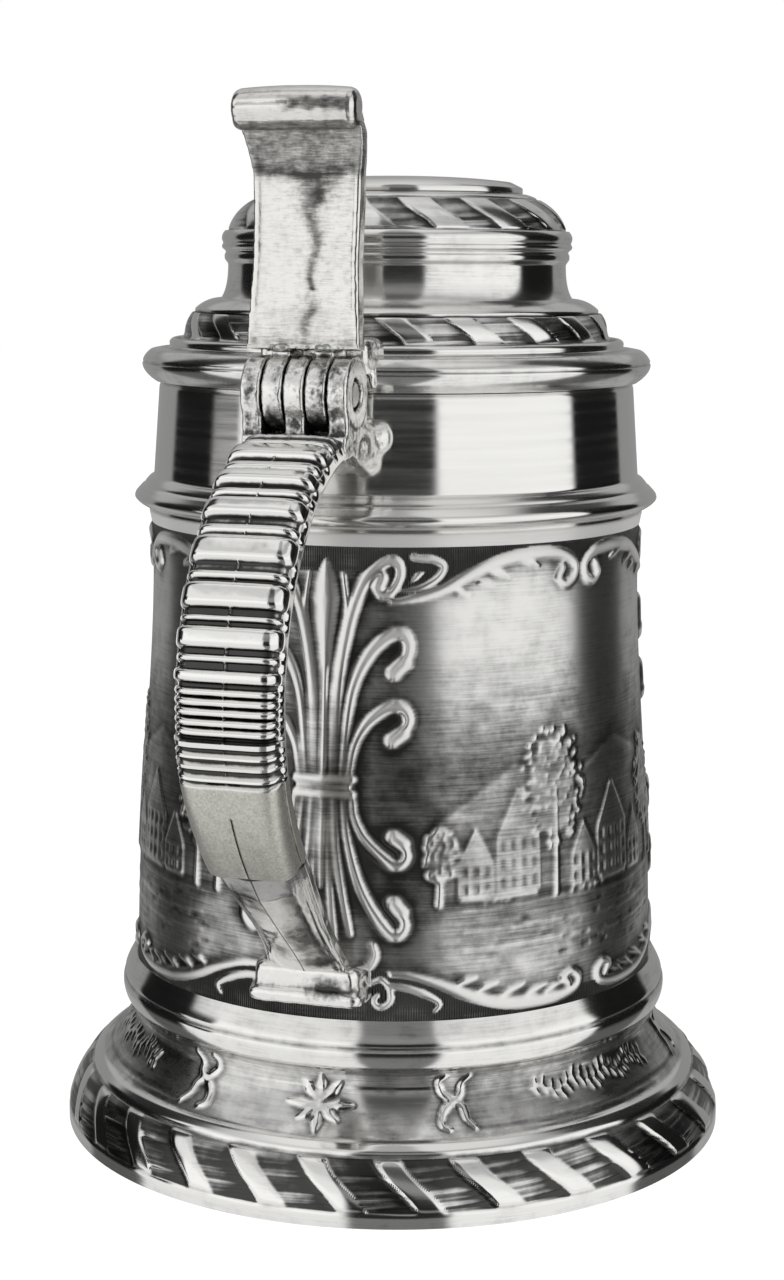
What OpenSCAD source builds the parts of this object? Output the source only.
// Lidded pewter tankard of half a litre: a relief drum on a spreading foot, a turned rim band,
// a strap handle, and a stepped lid with a thumb lift on a five-leaf hinge.
// Millimetres. +Z is up, the origin is on the tankard's axis at the table, and the handle is at +X.

/* [Foot] */
// Radius of the foot where it meets the table
foot_r = 58.8; // [57:0.1:61]
// Height of the upright strip at the foot's lower edge
foot_edge_h = 2.7; // [2:0.1:4]
// Radius where the rounded rim of the foot turns into the hollow curve
foot_turn_r = 55.5; // [54:0.1:56.5]
// Height where the rounded rim of the foot turns into the hollow curve
foot_turn_z = 9.5; // [8:0.1:11]
// Radius of the waist under the bulge
waist_r = 46.9; // [46:0.1:48]
// Height of the waist under the bulge
waist_z = 19.2; // [18:0.1:20]
// Height of the foot casting, where the drum is soldered on
foot_h = 30.4; // [30:0.1:31]
// Inner radius of the foot casting's upper part
foot_bore_r = 44.6; // [44.2:0.1:44.8]
// Height of the underside of the floor disc
floor_z = 22; // [20:0.1:24]
// Thickness of the floor disc
floor_t = 2.6; // [2:0.1:3]

/* [Drum and rim band] */
// Outer radius of the drum's plain surface at its lower end
drum_low_r = 46.2; // [45.8:0.1:46.6]
// Outer radius of the drum's plain surface at its upper end
drum_high_r = 42.9; // [42.4:0.1:43.1]
// Height of the drum's upper end, where the rim band starts
drum_top_z = 107.3; // [106:0.1:108]
// Thickness of the drum's wall
drum_wall = 2.2; // [1.8:0.1:2.6]
// Radius of the rim band's lower strip
strip_r = 43.2; // [43.1:0.1:43.6]
// Largest radius of the rim band's moulding
moulding_r = 44.5; // [44.2:0.1:44.9]
// Outer radius at the foot of the plain band
band_low_r = 42.2; // [42:0.1:42.6]
// Outer radius at the top of the plain band
band_top_r = 41.2; // [41:0.1:41.6]
// Height of the drinking rim
rim_z = 131.3; // [130.8:0.1:131.5]
// Inner radius of the drinking rim
rim_bore_r = 39.1; // [38.6:0.1:39.4]

/* [Lid] */
// Gap between the drinking rim and the closed lid
lid_gap = 0.2; // [0.15:0.05:0.3]
// Outer radius of the lid's flange
flange_r = 44; // [43.6:0.1:44.1]
// Height of the flange's rounded edge
flange_edge_h = 5.4; // [5:0.1:5.6]
// Radius of the lower dome where it stands on the flange
dome_r = 36.8; // [36:0.1:37.2]
// Radius of the lower dome's rounded shoulder
shoulder_r = 6.4; // [5.8:0.1:6.6]
// Radius of the lid's neck
neck_r = 29.2; // [28.8:0.1:29.6]
// Largest radius of the bead above the neck
bead_r = 30.3; // [30:0.1:30.8]
// Radius of the crown's flat top
crown_top_r = 22.4; // [22:0.1:23]
// Radius of the disc set on top of the lid
disc_r = 21.6; // [21:0.1:21.9]
// Thickness of the lid's castings
lid_wall = 2; // [1.6:0.1:2.2]

/* [Hinge] */
// Distance of the hinge pin from the tankard's axis
pin_x = 50; // [49.9:0.1:50.3]
// Height of the hinge pin
pin_z = 131.8; // [131.6:0.1:132]
// Radius of the hinge pin
pin_r = 2.1; // [1.8:0.1:2.3]
// Radial running clearance of the moving leaves on the pin
pin_play = 0.05; // [0.02:0.01:0.1]
// Radius of the rounded hinge leaves
leaf_r = 5.9; // [5.6:0.1:6]
// Width over all five leaves
hinge_w = 17.4; // [17:0.1:18]
// Gap between neighbouring leaves
leaf_gap = 0.15; // [0.1:0.05:0.25]

/* [Handle] */
// Thickness of the handle at its upper end
handle_top_t = 4.7; // [4:0.1:5]
// Thickness of the handle above its foot
handle_low_t = 6.2; // [5.6:0.1:6.4]
// Width of the ribbed upper part of the handle
handle_w = 16.6; // [16:0.1:17]
// Width of the handle's lower neck
handle_neck_w = 13.7; // [13:0.1:14.5]
// Width of the pad at the handle's foot
pad_w = 20.2; // [19:0.1:21]

/* [Thumb lift] */
// Width of the thumb lift at its base
thumb_base_w = 18.3; // [17.6:0.1:18.6]
// Width of the thumb lift at its middle
thumb_mid_w = 17; // [16:0.1:17.4]
// Width of the roll at the top of the thumb lift
roll_w = 20.8; // [20:0.1:22]
// Radius of the roll
roll_r = 3.3; // [3:0.1:3.5]
// Height of the roll's centre
roll_z = 174.8; // [174:0.1:175.5]
// Thickness of the thumb lift's plate
thumb_t = 4.2; // [3.6:0.1:4.4]

/* [Hidden] */
$fn = 160;

pewter = "#a9aaa8";
dark_pewter = "#7f807d";
bright_pewter = "#c3c4c2";
solder_grey = "#8d8f8a";

reach = 200;
solder_t = 0.4;
curve_n = 10;
lid_z = rim_z + lid_gap;
flange_top_z = lid_z + flange_edge_h;
shoulder_z = lid_z + 7.8;
dome_top_z = shoulder_z + shoulder_r;
crown_top_z = dome_top_z + 17.6;
leaf_pitch = (hinge_w + leaf_gap) / 5;
leaf_w = leaf_pitch - leaf_gap;
fixed_leaves = [-2, 0, 2];
moving_leaves = [-1, 1];
sweep_r = leaf_r + 0.3;
bracket_face_x = 55;
bracket_top_z = pin_z - leaf_r;
thumb_z = pin_z + 6.9;

// A quadratic or cubic curve through the ends of p, drawn towards its inner points
function curve(p, n = curve_n) = [for (i = [0:n]) curve_point(p, i / n)];
function curve_point(p, t) =
    len(p) == 1 ? p[0] : curve_point([for (i = [0:len(p) - 2]) p[i] * (1 - t) + p[i + 1] * t], t);

function arc(centre, r, from, to, n = curve_n) =
    [for (i = [0:n]) let (a = from + (to - from) * i / n) centre + r * [cos(a), sin(a)]];

function reversed(p) = [for (i = [len(p) - 1:-1:0]) p[i]];

// Turned shapes are outlines of [radius, height]
module turned(outline) {
    rotate_extrude() polygon(outline);
}

// Side shapes are outlines of [x, z], drawn out evenly to both sides of the hinge's middle
module side_plate(width, offset_y = 0) {
    translate([0, offset_y + width / 2, 0]) rotate([90, 0, 0]) linear_extrude(width) children();
}

module cross_pin(x, z, r, width, offset_y = 0) {
    translate([x, offset_y, z]) rotate([90, 0, 0]) cylinder(r = r, h = width, center = true);
}

// ---- Foot ----

function foot_outer() = concat(
    [[foot_r, 0]],
    curve([[foot_r, foot_edge_h], [foot_r - 0.8, foot_edge_h + 3.8], [foot_turn_r, foot_turn_z]]),
    curve([[foot_turn_r, foot_turn_z], [waist_r + 1.1, waist_z - 3.2], [waist_r, waist_z]]),
    curve([[waist_r + 0.5, waist_z + 2.2], [waist_r + 2.9, waist_z + 5], [waist_r + 1, waist_z + 8.8]]),
    [[drum_low_r + 0.4, foot_h]]);

module foot() {
    inner = concat(
        [[foot_bore_r, foot_h]],
        curve([[foot_bore_r, waist_z - 0.6], [foot_bore_r + 1.1, waist_z - 5], [foot_turn_r - 2.4, foot_turn_z - 1]]),
        curve([[foot_turn_r - 2.4, foot_turn_z - 1], [foot_r - 3, foot_edge_h + 2.6], [foot_r - 2.4, 0]]));
    color(dark_pewter) turned(concat(foot_outer(), inner));
}

module floor_disc() {
    color(pewter) translate([0, 0, floor_z]) cylinder(r = foot_bore_r, h = floor_t);
}

module floor_solder_seam() {
    color(solder_grey)
        turned([[foot_bore_r, floor_z], [foot_bore_r - 1.4, floor_z], [foot_bore_r, floor_z - 1.4]]);
}

// ---- Drum and rim band ----

function drum_outer(grow = 0) = curve([
    [drum_low_r + grow, foot_h],
    [drum_low_r - 0.2 + grow, 62],
    [drum_high_r - 0.7 + grow, 84],
    [drum_high_r + grow, drum_top_z]], 16);

module relief_drum() {
    color(dark_pewter) turned(concat(drum_outer(), reversed(drum_outer(-drum_wall))));
}

module rim_band() {
    inner = [[rim_bore_r, rim_z], [rim_bore_r + 0.2, 118], [drum_high_r - drum_wall, drum_top_z]];
    outer = concat(
        [[strip_r, drum_top_z], [strip_r, 109.7]],
        curve([[strip_r + 0.2, 109.7], [2 * moulding_r - strip_r - 0.2, 112], [strip_r + 0.2, 115.2]]),
        [[band_low_r, 116.6], [band_top_r, rim_z - 0.6], [band_top_r - 0.3, rim_z]]);
    color(bright_pewter) turned(concat(outer, inner));
}

// The band's tapered face as a solid cone, grown by a margin
module band_core(grow) {
    translate([0, 0, 116.6])
        cylinder(r1 = band_low_r + grow, r2 = band_top_r + grow, h = rim_z - 0.6 - 116.6);
}

// ---- Handle ----

// Inner face of the handle as [x, z]: an upper sweep out to the widest point and a lower sweep in
handle_inner = concat(
    curve([[54.2, 122.2], [70, 119.5], [82.6, 105], [82.6, 88]], 14),
    curve([[82.6, 88], [82.6, 68], [61, 57.5], [45.6, 38.8]], 16));

function handle_thickness(i) =
    let (t = max(0, i / (len(handle_inner) - 1) - 0.5) * 2)
    handle_top_t + (handle_low_t - handle_top_t) * sin(90 * min(1, 1.4 * t));

function handle_normal(i) =
    let (a = handle_inner[max(0, i - 1)], b = handle_inner[min(len(handle_inner) - 1, i + 1)], d = b - a)
    [-d[1], d[0]] / norm(d);

// The inner face moved outwards by a share of the thickness
function handle_layer(share) =
    [for (i = [0:len(handle_inner) - 1])
        if (i == 0 || handle_inner[i] != handle_inner[i - 1])
            handle_inner[i] + handle_normal(i) * handle_thickness(i) * share];

// A plan of half widths by height, narrowing from the ribbed part to the lower neck
module handle_width_plan(narrower) {
    rib_h = handle_w / 2 - narrower;
    neck_h = handle_neck_w / 2 - narrower;
    half = [[rib_h, 128], [rib_h, 80], [neck_h + 0.7, 62], [neck_h, 48], [neck_h + 1.2, 34]];
    rotate([90, 0, 90]) linear_extrude(reach)
        polygon(concat(half, reversed([for (p = half) [-p[0], p[1]]])));
}

module handle_slab(from, to, narrower) {
    intersection() {
        side_plate(handle_w) difference() {
            polygon(concat(handle_layer(from), reversed(handle_layer(to))));
            translate([bracket_face_x - reach, 100]) square([reach, reach]);
        }
        handle_width_plan(narrower);
    }
}

module pad_step(x, z_from, z_to, width) {
    corner = 2.4;
    translate([0, 0, z_from]) linear_extrude(z_to - z_from) {
        translate([40, -width / 2]) square([x - 40 - corner, width]);
        translate([40, -width / 2 + corner]) square([x - 40, width - 2 * corner]);
        for (side = [-1, 1])
            translate([x - corner, side * (width / 2 - corner)]) circle(corner);
    }
}

module handle() {
    color(bright_pewter) difference() {
        union() {
            handle_slab(0, 0.45, 0);
            handle_slab(0.45, 0.8, 0.5);
            handle_slab(0.8, 1, 2);
            pad_step(50.6, 36.4, 40.4, pad_w - 1.2);
            pad_step(51.6, 33.6, 36.4, pad_w);
        }
        turned(concat([[0, foot_h - 1]], [[drum_low_r + solder_t, foot_h - 1]], drum_outer(solder_t),
                      [[0, drum_top_z]]));
    }
}

module handle_pad_solder() {
    color(solder_grey) intersection() {
        turned(concat(drum_outer(solder_t), reversed(drum_outer())));
        translate([30, -pad_w / 2 - 0.6, 33.3]) cube([30, pad_w + 1.2, 7.8]);
    }
}

// ---- Hinge ----

module fixed_leaf(offset_y) {
    cross_pin(pin_x, pin_z, leaf_r, leaf_w, offset_y);
    side_plate(leaf_w, offset_y)
        translate([pin_x - 5.4, bracket_top_z - 0.5]) square([10.2, leaf_r + 0.5]);
}

module hinge_bracket() {
    web = concat(
        [[40, 118.8], [44.6, 118.8]],
        curve([[46.8, 120], [48.6, 122.1], [51.5, 122.3]], 6),
        [[bracket_face_x, 122.1], [bracket_face_x, bracket_top_z], [44.6, bracket_top_z],
         [44.4, 128], [40, 128]]);
    color(bright_pewter) difference() {
        union() {
            side_plate(hinge_w) polygon(web);
            for (i = fixed_leaves) fixed_leaf(i * leaf_pitch);
            intersection() {
                translate([0, 0, 118.8]) cylinder(r = 44.3, h = 9.2);
                translate([36, -11, 118.8]) cube([10, 22, 9.2]);
            }
        }
        band_core(solder_t);
        cross_pin(pin_x, pin_z, pin_r, reach);
        for (i = moving_leaves)
            cross_pin(pin_x, pin_z, sweep_r, leaf_w + 2 * leaf_gap, i * leaf_pitch);
    }
}

module bracket_solder() {
    color(solder_grey) difference() {
        intersection() {
            band_core(solder_t);
            translate([30, -11.5, 118.3]) cube([20, 23, 10.2]);
        }
        band_core(0);
    }
}

module hinge_pin() {
    color(pewter) cross_pin(pin_x, pin_z, pin_r, hinge_w);
}

// ---- Lid ----

function flange_outer() = concat(
    curve([[flange_r - 2.2, lid_z], [flange_r + 2, lid_z + 2.8], [flange_r - 1.4, flange_top_z]]),
    [[dome_r + 1.2, flange_top_z + 1.8], [dome_r, shoulder_z]],
    arc([dome_r - shoulder_r, shoulder_z], shoulder_r, 0, 90));

module lid_flange() {
    inner_r = shoulder_r - lid_wall;
    inner = concat(
        [[neck_r - lid_wall, dome_top_z], [neck_r - lid_wall, dome_top_z - lid_wall]],
        arc([dome_r - shoulder_r, shoulder_z], inner_r, 90, 0),
        [[rim_bore_r - 0.1, lid_z + 3.4], [rim_bore_r - 0.1, lid_z]]);
    color(pewter) turned(concat(flange_outer(), inner));
}

module lid_crown() {
    bead_z = dome_top_z + 6.4;
    outer = concat(
        curve([[dome_r - shoulder_r, dome_top_z], [neck_r, dome_top_z + 1.8], [neck_r, dome_top_z + 5.8]]),
        curve([[neck_r + 0.2, bead_z], [2 * bead_r - neck_r - 0.3, bead_z + 2.6], [neck_r + 0.3, bead_z + 5]]),
        curve([[neck_r, bead_z + 5.2], [neck_r - 1.6, bead_z + 9.7], [crown_top_r, crown_top_z]]));
    inner = concat(
        [[disc_r - 2.6, crown_top_z], [disc_r - 2.6, crown_top_z - 1.7]],
        curve([[crown_top_r - 1.8, crown_top_z - 1.7], [neck_r - 3.6, bead_z + 8.2],
               [neck_r - lid_wall, bead_z + 5]]),
        [[neck_r - lid_wall, dome_top_z]]);
    color(pewter) turned(concat(outer, inner));
}

module lid_top_disc() {
    color(bright_pewter) turned(concat(
        [[0, crown_top_z], [disc_r, crown_top_z], [disc_r, crown_top_z + 1.6]],
        curve([[disc_r - 0.8, crown_top_z + 2.3], [disc_r / 2, crown_top_z + 3.1], [0, crown_top_z + 3.1]])));
}

// Saddle over the flange with an ear down each side of the leaves, and the two moving leaves
module lid_hinge_strap() {
    saddle_w = 20.8;
    saddle_top_z = flange_top_z + 3.4;
    riser_top_z = thumb_z - solder_t;
    saddle = [[37.4, lid_z + 3], [46.2, lid_z + 3], [46.2, saddle_top_z - 0.8], [44.6, saddle_top_z],
              [38.6, saddle_top_z], [37.4, saddle_top_z - 1.2]];
    ear = [[41, lid_z + 0.2], [45.4, lid_z + 0.2], [46.2, lid_z + 3], [41, lid_z + 3]];
    riser = [[42, lid_z + 1.8], [pin_x, lid_z + 1.8], [51.2, riser_top_z], [44, riser_top_z]];
    color(pewter) difference() {
        union() {
            difference() {
                side_plate(saddle_w) {
                    polygon(saddle);
                    polygon(ear);
                }
                cross_pin(pin_x, pin_z, sweep_r, hinge_w + 4 * leaf_gap);
            }
            for (i = moving_leaves) {
                side_plate(leaf_w, i * leaf_pitch) polygon(riser);
                cross_pin(pin_x, pin_z, leaf_r, leaf_w, i * leaf_pitch);
            }
        }
        turned(concat([[0, lid_z - 1]], [[flange_r - 2.2, lid_z - 1]], flange_outer(), [[0, dome_top_z]]));
        cross_pin(pin_x, pin_z, pin_r + pin_play, reach);
    }
}

// ---- Thumb lift ----

roll_x = pin_x + 3.6;
thumb_outer = concat(
    [[pin_x + 1.2, thumb_z]],
    curve([[pin_x + 0.8, thumb_z + 4], [pin_x - 0.2, 152], [pin_x - 1.5, 161], [pin_x - 1, 166]]),
    curve([[pin_x - 1, 166], [pin_x - 0.4, 169.6], [pin_x + 2, roll_z - 2.4]]));

module thumb_lift() {
    back = [for (p = thumb_outer) p - [thumb_t - 0.02 * (p[1] - thumb_z), 0]];
    half = [[thumb_base_w / 2, thumb_z], [thumb_mid_w / 2, 152], [thumb_mid_w / 2 + 0.2, 165],
            [roll_w / 2 - 0.6, roll_z - 2.6], [roll_w / 2 - 0.2, roll_z]];
    color(bright_pewter) {
        intersection() {
            side_plate(roll_w) polygon(concat(thumb_outer, [[roll_x, roll_z]], reversed(back)));
            rotate([90, 0, 90]) linear_extrude(reach)
                polygon(concat(half, reversed([for (p = half) [-p[0], p[1]]])));
        }
        cross_pin(roll_x, roll_z, roll_r, roll_w);
    }
}

module thumb_lift_solder() {
    color(solder_grey)
        for (i = moving_leaves)
            translate([pin_x - 3.2, i * leaf_pitch - leaf_w / 2, thumb_z - solder_t])
                cube([4.4, leaf_w, solder_t]);
}

foot();
floor_disc();
floor_solder_seam();
relief_drum();
rim_band();
handle();
handle_pad_solder();
hinge_bracket();
bracket_solder();
hinge_pin();
lid_flange();
lid_crown();
lid_top_disc();
lid_hinge_strap();
thumb_lift();
thumb_lift_solder();
